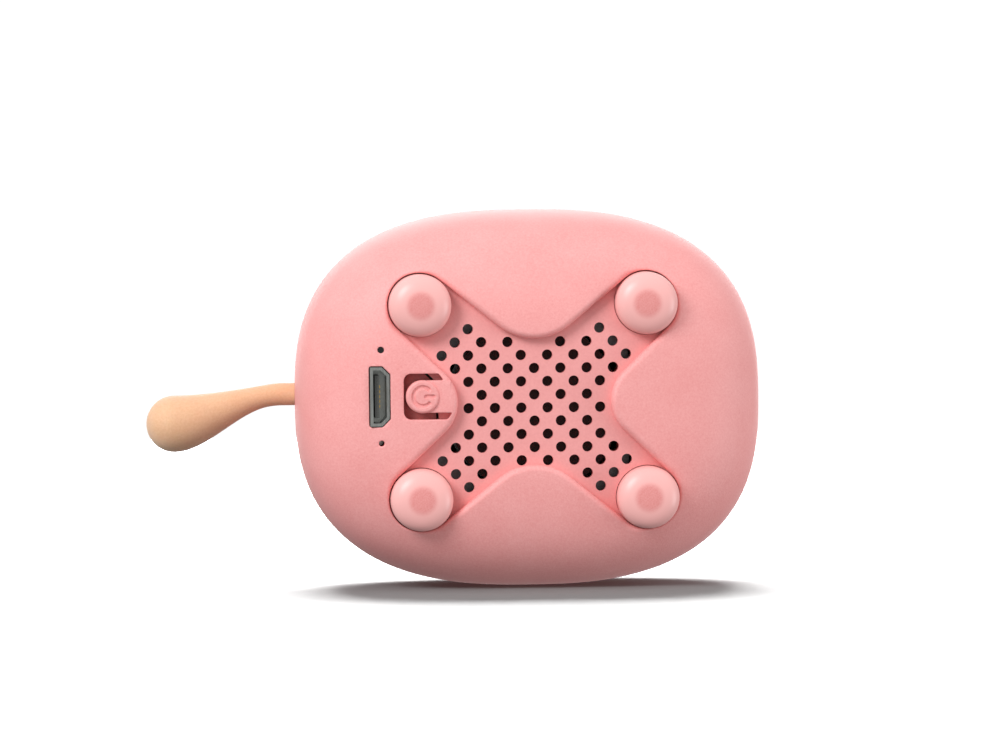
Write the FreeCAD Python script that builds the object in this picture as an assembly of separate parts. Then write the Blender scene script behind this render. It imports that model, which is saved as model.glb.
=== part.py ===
import FreeCAD, Part
import math
import os
from FreeCAD import Vector

os.makedirs("parts", exist_ok=True)

# A pebble-shaped wireless speaker that fires down through its belly and stands on four round feet.
# Lengths are in millimetres.  +Z is up and the table is at Z = 0.  The sketches below are drawn
# about the middle of the pebble; write_node moves everything along X, so that the origin ends up
# on the table under the middle of the whole object, tail included.

# ---------------------------------------------------------------- driving sizes
body_length = 62.0
body_width = 50.2
belly_depth = 20.0             # from the seam down to the lowest point of the belly
crown_height = 22.0            # from the seam up to the highest point of the crown
outline_power = 2.62           # squareness of the outline seen from above
belly_power = 3.5              # flatness of the belly
crown_power = 2.6              # flatness of the crown
shell_wall = 1.8
belly_clearance = 1.0          # from the table to the lowest point of the belly

seam_lip_height = 1.5
seam_clearance = 0.1
seal_thickness = 0.5

foot_spacing_x = 30.1
foot_spacing_y = 25.8
foot_diameter = 8.3
foot_contact_diameter = 3.8
foot_crown = 1.7               # height of the domed end
foot_spigot_radius = 2.1
foot_spigot_length = 0.9
foot_pocket_gap = 0.15         # between the foot's side and the recess wall

recess_tip_x = 10.2            # from the recess centre to the bulges on the long axis
recess_tip_y = 8.4
recess_bulge_x = 5.4           # radii of the bulges
recess_bulge_y = 7.5
recess_edge_radius = 0.7

plate_thickness = 1.5
plate_flange = 1.6             # how far the grille plate reaches behind the shell
grille_x = 0.05                # centre of the hole pattern and of the driver
grille_y = 0.83
hole_diameter = 1.4
hole_step = 1.75
hole_margin = 0.02             # least plastic between a hole and the recess wall
hole_reach = 14.4              # farthest hole centre from the pattern's centre

screw_head_radius = 1.9        # M2 pan heads under the feet
screw_head_height = 1.2
screw_shank_radius = 0.95
screw_length = 9.0
screw_pilot_gap = 0.05
screw_seat_gap = 0.05
screw_hole_gap = 0.15            # round a screw in the piece that it clamps
foot_hole_gap = 0.1
post_radius = 2.4
boss_radius = 3.3
boss_height = 3.6

panel_y = -0.85                # centre line of the port, the button and the two small holes
port_x = -20.5
port_length = 7.85             # along Y
port_thickness = 2.58          # along X
port_chamfer = 1.0
port_wall = 0.4
port_depth = 5.0               # from the mouth to the board
port_gap = 0.12
led_x = -20.3
led_offset_y = 6.2
led_hole_diameter = 0.85
mic_hole_diameter = 0.7

button_x = -14.9
button_diameter = 4.4
button_rise = 0.55             # how far the cap stands out of the belly
button_edge_radius = 0.35
tongue_root_x = -11.7
tongue_width = 4.3
tongue_thickness = 1.1
tongue_sink = 0.2              # how far the tongue lies below the belly's surface
tongue_hinge_gap = 0.12
slot_width = 0.9
slot_tip_gap = 0.3
slot_corner_radius = 0.9
slot_end_margin = 0.45         # from the recess wall to the slot's ends
seal_border = 0.3              # how far the button's seal reaches past the slot
seal_sheet_gap = 0.4           # from the shell's inside to the seal's thin sheet
seal_sheet_thickness = 0.4
seal_nib_gap = 0.3
symbol_radius = 1.25
symbol_line = 0.3
symbol_depth = 0.2
symbol_opening = 94.0          # degrees
nib_radius = 0.8
nib_gap = 0.12
switch_side = 3.2
switch_travel = 0.3
plunger_radius = 0.9
plunger_gap = 0.1
mesh_thickness = 0.25
mesh_margin = 0.15
clamp_screw_length = 3.2

driver_rise = 8.8              # from the lowest point of the belly to the frame's front face
driver_side = 26.0
driver_corner_radius = 15.0
driver_flange_thickness = 0.6
driver_mouth_radius = 10.2
chamber_inner_radius = 11.6
chamber_outer_radius = 12.8
gasket_thickness = 0.4
basket_height = 5.0
basket_wall = 0.6
basket_top_radius = 9.4
cone_radius = 8.3
cone_rise = 2.5
cone_wall = 0.3
coil_radius = 5.0
coil_wall = 0.3
coil_height = 5.8
winding_wall = 0.2
winding_height = 2.4
coil_gap = 0.25
magnet_radius = 4.2
magnet_height = 3.5
pole_height = 1.2
cup_wall = 1.15
cup_roof = 1.0
cup_lip = 0.7
cup_radius = 6.9
cup_lip_rise = 0.6
window_width = 5.0
window_sill = 1.0
surround_lip = 0.6
surround_wall = 0.3
surround_gap = 0.1
cone_lip = 0.5
dust_cap_rise = 1.4
spider_wave = 0.4
spider_wall = 0.2
spider_clearance = 0.1
terminal_length = 5.0
terminal_width = 1.4
clamp_fit = 0.15
clamp_thickness = 1.2
clamp_post_distance = 15.6
clamp_post_radius = 1.6
clamp_screw_radius = 0.75

board_length = 9.6            # along X
board_width = 16.8
board_thickness = 0.8
board_x = -18.0
board_screw_offset = 4.6

board_corner_radius = 1.0
insulator_offset = 0.25
insulator_thickness = 0.6
insulator_setback = 0.9
tongue_side_gap = 0.7
contact_thickness = 0.12
contact_width = 0.4
contact_pitch = 0.65
led_height = 0.6
microphone_height = 1.0
boot_radius = 1.2

battery_length = 38.0
battery_width = 19.0
battery_height = 8.0
battery_rise = 24.0            # from the lowest point of the belly
tray_thickness = 1.2
tray_lip = 3.0
tray_fit = 0.3
tray_ear_x = 22.2
pad_thickness = 0.8
battery_edge_radius = 1.0
tray_end_share = 0.9

wall_lap = 0.8                 # share of the wall that the seam's lip takes
board_screw_x = -17.85
board_post_radius = 1.2
board_screw_radius = 0.6
board_hole_gap = 0.1
board_screw_length = 3.0
tray_post_radius = 2.0
tray_screw_radius = 0.8
tray_screw_length = 5.0
clamp_pilot_depth = 2.2

tail_reach = 50.9              # from the middle of the body to the tail's tip
tail_rise = 3.5                # above the seam
tail_y = -0.55
tail_droop = 3.8               # how far the tip's centre lies to the side of the root
neck_diameter = 3.0
bulb_diameter = 7.6
tail_hole_gap = 0.15
tail_root_gap = 0.15
tail_neck_share = 0.12
tail_sections = 9
anchor_set = 0.9
anchor_radius = 3.2
anchor_thickness = 1.4

wire_radius = 0.5
wire_bend = 1.6

# ---------------------------------------------------------------- worked-out places
belly_z = belly_clearance
seam_z = belly_z + belly_depth
foot_radius = foot_diameter / 2
foot_x = foot_spacing_x / 2
foot_y = foot_spacing_y / 2
origin_shift = (tail_reach - body_length / 2) / 2


# ---------------------------------------------------------------- shape helpers
def superellipse(half_length, half_width, points=48):
    """The body's outline as a closed smooth curve in the XY plane."""
    spots = []
    for i in range(points):
        a = 2 * math.pi * i / points
        reach = (abs(math.cos(a) / half_length) ** outline_power
                 + abs(math.sin(a) / half_width) ** outline_power) ** (-1 / outline_power)
        spots.append(Vector(reach * math.cos(a), reach * math.sin(a), 0))
    curve = Part.BSplineCurve()
    curve.interpolate(Points=spots, PeriodicFlag=True)
    return curve


def side_profile(radius, height, power, points=9):
    """A quarter of a superellipse in the XZ plane, from the seam to the pole."""
    spots = [Vector(radius, 0, 0)]
    for i in range(1, points):
        a = 0.5 * math.pi * i / points
        reach = (math.cos(a) ** power + math.sin(a) ** power) ** (-1 / power)
        spots.append(Vector(radius * reach * math.cos(a), 0, height * reach * math.sin(a)))
    spots.append(Vector(0, 0, height))
    curve = Part.BSplineCurve()
    curve.interpolate(Points=spots, InitialTangent=Vector(0, 0, 1), FinalTangent=Vector(-1, 0, 0))
    return curve


def half_pebble(inset, crown=False):
    """The solid half of the pebble below the seam, or above it, shrunk by inset all round."""
    half_length = body_length / 2 - inset
    half_width = body_width / 2 - inset
    height = (crown_height if crown else belly_depth) - inset
    upward = 1 if crown else -1
    plan = superellipse(half_length, half_width)
    mean = (half_length + half_width) / 2
    side = side_profile(mean, height, crown_power if crown else belly_power)
    poles = [[Vector(p.x * s.x / mean, p.y * s.x / mean, seam_z + upward * s.z)
              for s in side.getPoles()] for p in plan.getPoles()]
    skin = Part.BSplineSurface()
    skin.buildFromPolesMultsKnots(poles, plan.getMultiplicities(), side.getMultiplicities(),
                                  plan.getKnots(), side.getKnots(), True, False,
                                  plan.Degree, side.Degree)
    rim = plan.toShape()
    rim.translate(Vector(0, 0, seam_z))
    shell = Part.makeShell([skin.toShape(), Part.Face(Part.Wire([rim]))])
    shell.sewShape()
    solid = Part.Solid(shell)
    if solid.Volume < 0:
        solid.reverse()
    return solid


def skin_z(x, y, inset, crown=False):
    """Height of the pebble's surface, shrunk by inset, over a point of the plan."""
    reach = (abs(x / (body_length / 2 - inset)) ** outline_power
             + abs(y / (body_width / 2 - inset)) ** outline_power) ** (1 / outline_power)
    power = crown_power if crown else belly_power
    height = (crown_height if crown else belly_depth) - inset
    rise = height * max(0.0, 1 - reach ** power) ** (1 / power)
    return seam_z + rise if crown else seam_z - rise


def cylinder(x, y, low, high, radius):
    return Part.makeCylinder(radius, high - low, Vector(x, y, low))


def tube(x, y, low, high, outer, inner):
    return cylinder(x, y, low, high, outer).cut(cylinder(x, y, low - 1, high + 1, inner))


def block(x0, x1, y0, y1, z0, z1):
    return Part.makeBox(x1 - x0, y1 - y0, z1 - z0, Vector(x0, y0, z0))


def prism(wire, low, high):
    """A plan outline, drawn at Z = 0, as an upright solid."""
    face = Part.Face(wire)
    face.translate(Vector(0, 0, low))
    return face.extrude(Vector(0, 0, high - low))


def spun(x, y, points):
    """A closed profile of (radius, height) corners, turned about the upright line through x, y."""
    corners = [Vector(r, 0, z) for r, z in points]
    face = Part.Face(Part.makePolygon(corners + [corners[0]]))
    solid = face.revolve(Vector(0, 0, 0), Vector(0, 0, 1), 360)
    solid.translate(Vector(x, y, 0))
    return solid


def fused(shapes):
    solid = shapes[0].multiFuse(shapes[1:]) if len(shapes) > 1 else shapes[0]
    return solid.removeSplitter()


def arc(centre, radius, start, end):
    """An arc in the XY plane from one angle to another, in degrees, either way round."""
    spots = []
    for a in (start, (start + end) / 2, end):
        a = math.radians(a)
        spots.append(centre + Vector(radius * math.cos(a), radius * math.sin(a), 0))
    return Part.Arc(*spots).toShape()


def unit(angle):
    angle = math.radians(angle)
    return Vector(math.cos(angle), math.sin(angle), 0)


def four_ways(x, y):
    return [(sx * x, sy * y) for sx in (-1, 1) for sy in (-1, 1)]


def write_node(name, shape):
    placed = shape.copy()
    placed.translate(Vector(origin_shift, 0, 0))
    if not placed.isValid():
        print("INVALID", name)
    print(f"{name:24s} {len(placed.Solids):3d} solid(s) {placed.Volume:10.2f} mm3")
    placed.exportStep(f"parts/{name}.step")


# ---------------------------------------------------------------- the cross-shaped recess
def crossing_tangent(bulge, bulge_radius, pocket, pocket_radius, side):
    """Angles at which the straight wall between a bulge and a foot pocket touches each circle."""
    gap = pocket - bulge
    turn = math.degrees(math.acos((bulge_radius + pocket_radius) / gap.Length))
    angle = math.degrees(math.atan2(gap.y, gap.x)) + side * turn
    return angle, angle + 180


def recess_outline(grow=0.0):
    """The recess: a pocket round each foot, joined by straight walls that bulge in between."""
    pocket_radius = foot_radius + foot_pocket_gap + grow
    pocket = Vector(foot_x, foot_y, 0)
    bulge_x = Vector(recess_tip_x + recess_bulge_x, 0, 0)
    bulge_y = Vector(0, recess_tip_y + recess_bulge_y, 0)
    leave_x, reach_pocket = crossing_tangent(bulge_x, recess_bulge_x - grow, pocket, pocket_radius, 1)
    leave_y, leave_pocket = crossing_tangent(bulge_y, recess_bulge_y - grow, pocket, pocket_radius, -1)
    x_end = bulge_x + (recess_bulge_x - grow) * unit(leave_x)
    y_end = bulge_y + (recess_bulge_y - grow) * unit(leave_y)
    pocket_start = pocket + pocket_radius * unit(reach_pocket)
    pocket_end = pocket + pocket_radius * unit(leave_pocket)
    quarter = [
        arc(bulge_x, recess_bulge_x - grow, 180, leave_x),
        Part.LineSegment(x_end, pocket_start).toShape(),
        arc(pocket, pocket_radius, reach_pocket - 360, leave_pocket),
        Part.LineSegment(pocket_end, y_end).toShape(),
        arc(bulge_y, recess_bulge_y - grow, leave_y, -90),
    ]
    edges = []
    for mirror_x in (False, True):
        for mirror_y in (False, True):
            for edge in quarter:
                if mirror_x:
                    edge = edge.mirror(Vector(0, 0, 0), Vector(1, 0, 0))
                if mirror_y:
                    edge = edge.mirror(Vector(0, 0, 0), Vector(0, 1, 0))
                edges.append(edge)
    return Part.Wire(Part.__sortEdges__(edges))


# ---------------------------------------------------------------- shells, seam and feet
foot_seat_z = skin_z(foot_x, foot_y, shell_wall)
spigot_top_z = foot_seat_z + foot_spigot_length
screw_seat_z = spigot_top_z + screw_seat_gap + screw_head_height
boss_top_z = foot_seat_z + boss_height
driver_z = belly_z + driver_rise
chamber_top_z = driver_z - gasket_thickness
clamp_z = driver_z + driver_flange_thickness
board_z = skin_z(port_x, panel_y, 0) + port_depth
board_top_z = board_z + board_thickness
port_low = skin_z(port_x, panel_y, 0)
cup_z = clamp_z + basket_height - cup_lip_rise
plunger_low = board_z - 3.3
tray_z = belly_z + battery_rise - tray_thickness - pad_thickness
tail_z = seam_z + tail_rise
deep = -10.0                   # well below the table, for cuts that go right through
high = 80.0                    # well above the crown

outer_belly = half_pebble(0)
belly_hollow = half_pebble(shell_wall)
plate_hollow = half_pebble(shell_wall + plate_thickness)


def seam_band(inset_out, inset_in, low, high):
    """An upright band that follows the outline, between two distances in from the surface."""
    outlines = [superellipse(body_length / 2 - i, body_width / 2 - i) for i in (inset_out, inset_in)]
    outer, inner = [prism(Part.Wire([c.toShape()]), low, high) for c in outlines]
    return outer.cut(inner)


def port_outline(grow=0.0):
    """The D-shaped mouth of the charging socket, with its two cut corners towards +X."""
    x0 = port_x - port_thickness / 2 - grow
    x1 = port_x + port_thickness / 2 + grow
    y0 = panel_y - port_length / 2 - grow
    y1 = panel_y + port_length / 2 + grow
    cut = port_chamfer + grow / 2
    corners = [Vector(x0, y0, 0), Vector(x1 - cut, y0, 0), Vector(x1, y0 + cut, 0),
               Vector(x1, y1 - cut, 0), Vector(x1 - cut, y1, 0), Vector(x0, y1, 0)]
    return Part.makePolygon(corners + [corners[0]])


def tongue_outline(grow=0.0, root_gap=0.0):
    """The button's tongue: straight sides, and a round end about the cap."""
    half = tongue_width / 2 + grow
    root = tongue_root_x - root_gap
    corners = [Vector(root, panel_y - half, 0), Vector(button_x, panel_y - half, 0),
               Vector(button_x, panel_y + half, 0), Vector(root, panel_y + half, 0)]
    cap = Vector(button_x, panel_y, 0)
    return Part.Wire([Part.LineSegment(corners[0], corners[1]).toShape(),
                      arc(cap, half, 270, 90),
                      Part.LineSegment(corners[2], corners[3]).toShape(),
                      Part.LineSegment(corners[3], corners[0]).toShape()])


def slot_block(grow=0.0):
    """The box that the tongue and its two slots fit in, with its corners rounded at the tip."""
    half = tongue_width / 2 + slot_width + grow
    left = button_x - tongue_width / 2 - slot_tip_gap - grow
    box = block(left, 0, panel_y - half, panel_y + half, deep, seam_z)
    corners = [e for e in box.Edges if e.Length > seam_z and e.CenterOfMass.x < button_x - grow]
    corners = [e for e in corners if abs(e.BoundBox.ZLength - (seam_z - deep)) < 1e-6]
    return box.makeFillet(slot_corner_radius + grow, corners)


def button_slot():
    """The opening round the tongue: a slot along each side, whose end follows the recess wall."""
    bulge = cylinder(-(recess_tip_x + recess_bulge_x), 0, deep, seam_z, recess_bulge_x - slot_end_margin)
    root = block(tongue_root_x, 0, panel_y - tongue_width / 2, panel_y + tongue_width / 2, deep, seam_z)
    return slot_block().common(bulge).cut(root)


def build_bottom_shell():
    shell = outer_belly.cut(belly_hollow)
    shell = shell.cut(prism(recess_outline(), deep, seam_z - shell_wall))
    wall = recess_outline()
    rim = [e for e in shell.Edges if lies_on_rim(e, wall)]
    shell = shell.makeFillet(min(recess_edge_radius, 0.6 * shell_wall), rim)
    small_holes = [(-led_offset_y, led_hole_diameter), (led_offset_y, mic_hole_diameter)]
    cuts = [cylinder(led_x, panel_y + y, deep, board_z, d / 2) for y, d in small_holes]
    shell = shell.cut([button_slot(), prism(port_outline(port_gap), deep, board_z)] + cuts)
    lip = seam_band(shell_wall - wall_lap, shell_wall, seam_z - 0.01, seam_z + seam_lip_height)
    posts = [tube(board_screw_x, panel_y + s * board_screw_offset, belly_z, board_z,
                  board_post_radius, board_screw_radius + screw_pilot_gap).common(belly_hollow)
             for s in (-1, 1)]
    return fused([shell, lip] + posts)


def lies_on_rim(edge, wall):
    """Whether an edge is where the recess wall meets the outside of the belly."""
    for end in edge.Vertexes:
        if abs(end.Z - skin_z(end.X, end.Y, 0)) > 0.1:
            return False
        if wall.distToShape(Part.Vertex(end.X, end.Y, 0))[0] > 0.01:
            return False
    return edge.Length < body_width


def build_top_shell():
    crown = half_pebble(0, crown=True)
    hollow = half_pebble(shell_wall, crown=True)
    shell = crown.cut(hollow)
    rebate = seam_band(shell_wall - wall_lap - seam_clearance, shell_wall + 1.0,
                       seam_z - 1, seam_z + seam_lip_height + seal_thickness)
    shell = shell.cut(rebate)
    pillars = []
    for x, y in four_ways(foot_x, foot_y):
        pillar = cylinder(x, y, boss_top_z, seam_z + 0.01, post_radius)
        pillar = pillar.fuse(cylinder(x, y, seam_z, high, post_radius).common(crown))
        pilot = cylinder(x, y, boss_top_z - 1, screw_seat_z + screw_length + 0.5,
                         screw_shank_radius + screw_pilot_gap)
        pillars.append(pillar.cut(pilot))
    for s in (-1, 1):
        pillar = cylinder(s * tray_ear_x, 0, tray_z + tray_thickness, high, tray_post_radius)
        pillar = pillar.common(crown)
        pilot = cylinder(s * tray_ear_x, 0, tray_z, tray_z + tray_thickness + tray_screw_length,
                         tray_screw_radius + screw_pilot_gap)
        pillars.append(pillar.cut(pilot))
    shell = fused([shell] + pillars)
    hole = Part.makeCylinder(neck_diameter / 2 + tail_hole_gap, body_length,
                             Vector(-body_length / 2 - 1, tail_y, tail_z), Vector(1, 0, 0))
    return shell.cut(hole.common(block(-high, 0, -high, high, 0, high)))


def build_seal_ring():
    low = seam_z + seam_lip_height
    return seam_band(shell_wall - wall_lap, shell_wall, low, low + seal_thickness)


def hole_places():
    """A diagonal grid of holes: every other crossing that lies well inside the recess."""
    wall = recess_outline()
    floor = Part.Face(wall)
    reach = int(hole_reach / hole_step) + 1
    places = []
    for i in range(-reach, reach + 1):
        for j in range(-reach, reach + 1):
            spot = Vector(grille_x + i * hole_step, grille_y + j * hole_step, 0)
            if (i + j) % 2 == 0 or math.hypot(i, j) * hole_step > hole_reach:
                continue
            clear = wall.distToShape(Part.Vertex(spot))[0]
            if floor.isInside(spot, 1e-6, True) and clear > hole_diameter / 2 + hole_margin:
                places.append(spot)
    return places


def clamp_posts():
    """Three posts round the driver, none on the side where the board is."""
    centre = Vector(grille_x, grille_y, 0)
    return [centre + clamp_post_distance * unit(a) for a in (-90, 0, 90)]


def build_grille_plate():
    plan = prism(recess_outline(plate_flange), deep, seam_z)
    for post in clamp_posts():
        web = post - Vector(grille_x, grille_y, 0)
        lobe = clamp_post_radius + 0.6
        plan = plan.fuse(cylinder(post.x, post.y, deep, seam_z, lobe))
        strip = block(0, web.Length, -lobe, lobe, deep, seam_z)
        strip.rotate(Vector(0, 0, 0), Vector(0, 0, 1), math.degrees(math.atan2(web.y, web.x)))
        strip.translate(Vector(grille_x, grille_y, 0))
        plan = plan.fuse(strip)
    plate = belly_hollow.cut(plate_hollow).common(plan)
    chamber = tube(grille_x, grille_y, belly_z, chamber_top_z,
                   chamber_outer_radius, chamber_inner_radius).common(belly_hollow)
    pieces = [plate, chamber]
    for post in clamp_posts():
        pieces.append(cylinder(post.x, post.y, belly_z, clamp_z, clamp_post_radius).common(belly_hollow))
    for x, y in four_ways(foot_x, foot_y):
        pieces.append(cylinder(x, y, foot_seat_z, screw_seat_z, foot_radius - foot_hole_gap / 2))
        pieces.append(cylinder(x, y, foot_seat_z, boss_top_z, boss_radius))
    plate = fused(pieces)
    cuts = [cylinder(s.x, s.y, deep, driver_z, hole_diameter / 2) for s in hole_places()]
    for post in clamp_posts():
        cuts.append(cylinder(post.x, post.y, clamp_z - clamp_pilot_depth, high,
                             clamp_screw_radius + screw_pilot_gap))
    for x, y in four_ways(foot_x, foot_y):
        cuts.append(cylinder(x, y, deep, foot_seat_z, foot_radius + foot_hole_gap))
        cuts.append(cylinder(x, y, deep, screw_seat_z, foot_spigot_radius + foot_hole_gap))
        cuts.append(cylinder(x, y, deep, high, screw_shank_radius + screw_hole_gap))
    return plate.cut(cuts)


def build_foot(x, y):
    edge = Part.Arc(Vector(foot_contact_diameter / 2, 0, 0),
                    Vector(foot_radius * 0.83, 0, foot_crown * 0.33),
                    Vector(foot_radius, 0, foot_crown)).toShape()
    corners = [Vector(foot_radius, 0, foot_crown), Vector(foot_radius, 0, foot_seat_z),
               Vector(foot_spigot_radius, 0, foot_seat_z), Vector(foot_spigot_radius, 0, spigot_top_z),
               Vector(0, 0, spigot_top_z), Vector(0, 0, 0), Vector(foot_contact_diameter / 2, 0, 0)]
    sides = [Part.LineSegment(a, b).toShape() for a, b in zip(corners, corners[1:])]
    foot = Part.Face(Part.Wire([edge] + sides)).revolve(Vector(0, 0, 0), Vector(0, 0, 1), 360)
    foot.translate(Vector(x, y, 0))
    return foot


def pan_screw(x, y, seat, length, shank, head, head_height, upward=True):
    """A screw whose head bears on seat, with its shank going up or down from there."""
    if upward:
        return cylinder(x, y, seat - head_height, seat, head).fuse(
            cylinder(x, y, seat, seat + length, shank)).removeSplitter()
    return cylinder(x, y, seat, seat + head_height, head).fuse(
        cylinder(x, y, seat - length, seat, shank)).removeSplitter()


# ---------------------------------------------------------------- driver
def on_driver(points):
    return spun(grille_x, grille_y, points)


def build_driver_frame():
    half = driver_side / 2
    flange = block(grille_x - half, grille_x + half, grille_y - half, grille_y + half, driver_z, clamp_z)
    flange = flange.common(cylinder(grille_x, grille_y, driver_z, clamp_z, driver_corner_radius))
    flange = flange.cut(cylinder(grille_x, grille_y, deep, high, driver_mouth_radius))
    top = clamp_z + basket_height
    wall = on_driver([(chamber_inner_radius - basket_wall, clamp_z), (chamber_inner_radius, clamp_z),
                      (basket_top_radius, top), (basket_top_radius - basket_wall, top)])
    back = tube(grille_x, grille_y, top - basket_wall, top, basket_top_radius, cup_radius)
    frame = fused([flange, wall, back])
    windows = []
    for turn in (45, 135, 225, 315):
        window = block(basket_top_radius - 2, driver_side, -window_width / 2, window_width / 2,
                       clamp_z + window_sill, top - window_sill)
        window.rotate(Vector(0, 0, 0), Vector(0, 0, 1), turn)
        window.translate(Vector(grille_x, grille_y, 0))
        windows.append(window)
    return frame.cut(windows)


def build_surround():
    """A half-roll of foam between the frame and the cone, with a flat lip on each side."""
    inner = cone_radius - surround_lip
    outer = driver_mouth_radius - surround_gap
    middle = (cone_radius + outer) / 2
    roll = (outer - cone_radius) / 2
    torus = Part.makeTorus(middle, roll, Vector(0, 0, clamp_z)).cut(
        Part.makeTorus(middle, roll - surround_wall, Vector(0, 0, clamp_z)))
    torus = torus.common(cylinder(0, 0, deep, clamp_z + surround_wall / 2, driver_side))
    torus.translate(Vector(grille_x, grille_y, 0))
    lips = [tube(grille_x, grille_y, clamp_z, clamp_z + surround_wall, b, a)
            for a, b in ((inner, cone_radius + surround_wall / 2),
                         (outer - surround_wall / 2, chamber_inner_radius - basket_wall - 3 * surround_gap))]
    return fused([torus] + lips)


def build_cone():
    low = clamp_z + surround_wall
    top = low + cone_rise
    neck = coil_radius + coil_wall
    return on_driver([(cone_radius - cone_lip, low), (cone_radius, low), (cone_radius, low + cone_wall),
                      (cone_radius - cone_lip + cone_wall, low + cone_wall), (neck + cone_wall, top),
                      (neck, top), (neck, top - cone_wall)])


def build_dust_cap():
    """A shallow dome over the end of the coil, bulging towards the grille."""
    rim_z = clamp_z + surround_wall + cone_rise - dust_cap_rise
    radius = (coil_radius ** 2 + dust_cap_rise ** 2) / (2 * dust_cap_rise)
    centre = Vector(grille_x, grille_y, rim_z - dust_cap_rise + radius)
    ball = Part.makeSphere(radius, centre).cut(Part.makeSphere(radius - cone_wall, centre))
    return ball.common(cylinder(grille_x, grille_y, deep, rim_z, coil_radius))


def build_voice_coil():
    low = clamp_z + surround_wall + cone_rise - dust_cap_rise
    former = tube(grille_x, grille_y, low, low + coil_height, coil_radius + coil_wall, coil_radius)
    winding_low = cup_z + spider_clearance
    winding = tube(grille_x, grille_y, winding_low, winding_low + winding_height,
                   coil_radius + coil_wall + winding_wall, coil_radius + coil_wall)
    return fused([former, winding])


def build_spider():
    """The corrugated disc that keeps the coil centred."""
    top = clamp_z + basket_height - basket_wall
    inner = coil_radius + coil_wall
    outer = basket_top_radius - basket_wall - 0.15
    waves = 3
    ridge = (outer - inner) / (2 * waves)
    upper = []
    for i in range(2 * waves + 1):
        sag = spider_wave if i % 2 else 0.0
        upper.append((inner + i * ridge, top - sag))
    lower = [(r, z - spider_wall) for r, z in reversed(upper)]
    return on_driver(upper + lower)


def build_magnet_cup():
    inner = cup_radius - cup_wall
    top = cup_z + pole_height + magnet_height
    wall = [(inner, cup_z), (cup_radius, cup_z), (cup_radius, cup_z + cup_lip_rise),
            (cup_radius + cup_lip, cup_z + cup_lip_rise),
            (cup_radius + cup_lip, cup_z + cup_lip_rise + cup_lip),
            (cup_radius, cup_z + cup_lip_rise + cup_lip), (cup_radius, top + cup_roof),
            (0, top + cup_roof), (0, top), (inner, top)]
    return on_driver(wall)


def build_terminal_strip():
    y = grille_y + cup_radius + cup_lip + terminal_width / 2 + 0.1
    base = clamp_z + basket_height
    strip = block(grille_x - terminal_length / 2, grille_x + terminal_length / 2,
                  y - terminal_width / 2, y + terminal_width / 2, base, base + board_thickness)
    return strip


def build_driver_clamp():
    ring = tube(grille_x, grille_y, clamp_z, clamp_z + clamp_thickness,
                driver_corner_radius - 0.2, chamber_inner_radius + clamp_fit)
    pieces = [ring]
    for post in clamp_posts():
        pieces.append(cylinder(post.x, post.y, clamp_z, clamp_z + clamp_thickness, clamp_post_radius + 0.4))
    holes = [cylinder(p.x, p.y, deep, high, clamp_screw_radius + screw_hole_gap) for p in clamp_posts()]
    return fused(pieces).cut(holes)


# ---------------------------------------------------------------- board and what sits on it
def build_main_board():
    half = board_length / 2
    board = block(board_x - half, board_x + half, panel_y - board_width / 2, panel_y + board_width / 2,
                  board_z, board_top_z)
    corners = [e for e in board.Edges if abs(e.Length - board_thickness) < 1e-6]
    board = board.makeFillet(board_corner_radius, corners)
    return board.cut([cylinder(board_screw_x, panel_y + s * board_screw_offset, deep, high,
                               board_screw_radius + board_hole_gap) for s in (-1, 1)])


def on_board(x, y, length, width, height):
    """A packaged component on top of the board, by its centre."""
    return block(x - length / 2, x + length / 2, panel_y + y - width / 2, panel_y + y + width / 2,
                 board_top_z, board_top_z + height)


def build_port_shell():
    outer = prism(port_outline(), port_low, board_z)
    return outer.cut(prism(port_outline(-port_wall), deep, board_z - port_wall))


def build_port_tongue():
    half = port_length / 2 - port_wall - tongue_side_gap
    x = port_x - port_thickness / 2 + port_wall + insulator_offset
    blade = block(x, x + insulator_thickness, panel_y - half, panel_y + half,
                  port_low + insulator_setback, board_z - port_wall)
    return blade


def build_port_contacts():
    x = port_x - port_thickness / 2 + port_wall + insulator_offset + insulator_thickness
    pins = [block(x, x + contact_thickness, panel_y + i * contact_pitch - contact_width / 2,
                  panel_y + i * contact_pitch + contact_width / 2,
                  port_low + insulator_setback + contact_width, board_z - port_wall)
            for i in range(-2, 3)]
    return Part.makeCompound(pins)


def build_light_pipe():
    y = panel_y - led_offset_y
    low = skin_z(led_x, y, 0) + 0.1
    collar_low = skin_z(led_x, y, shell_wall) + 0.6
    pipe = cylinder(led_x, y, low, board_z - led_height, led_hole_diameter / 2 - 0.03)
    return fused([pipe, cylinder(led_x, y, collar_low, board_z - led_height, led_hole_diameter)])


def build_microphone_boot():
    y = panel_y + led_offset_y
    low = skin_z(led_x - boot_radius, y + boot_radius, shell_wall)
    return tube(led_x, y, low, board_z - microphone_height, boot_radius, mic_hole_diameter / 2)


def build_power_button():
    plan = prism(tongue_outline(root_gap=tongue_hinge_gap), deep, seam_z)
    tongue = half_pebble(tongue_sink).cut(half_pebble(tongue_sink + tongue_thickness)).common(plan)
    face = skin_z(button_x, panel_y, 0) - button_rise
    root = skin_z(button_x, panel_y, tongue_sink) + tongue_thickness / 2
    cap = cylinder(button_x, panel_y, face, root, button_diameter / 2)
    rim = [e for e in cap.Edges if abs(e.CenterOfMass.z - face) < 1e-6 and e.Length > button_diameter]
    cap = cap.makeFillet(button_edge_radius, rim)
    nib = cylinder(button_x, panel_y, root, plunger_low - nib_gap, nib_radius)
    button = fused([tongue, cap, nib])
    return button.cut(power_symbol(face))


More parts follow.
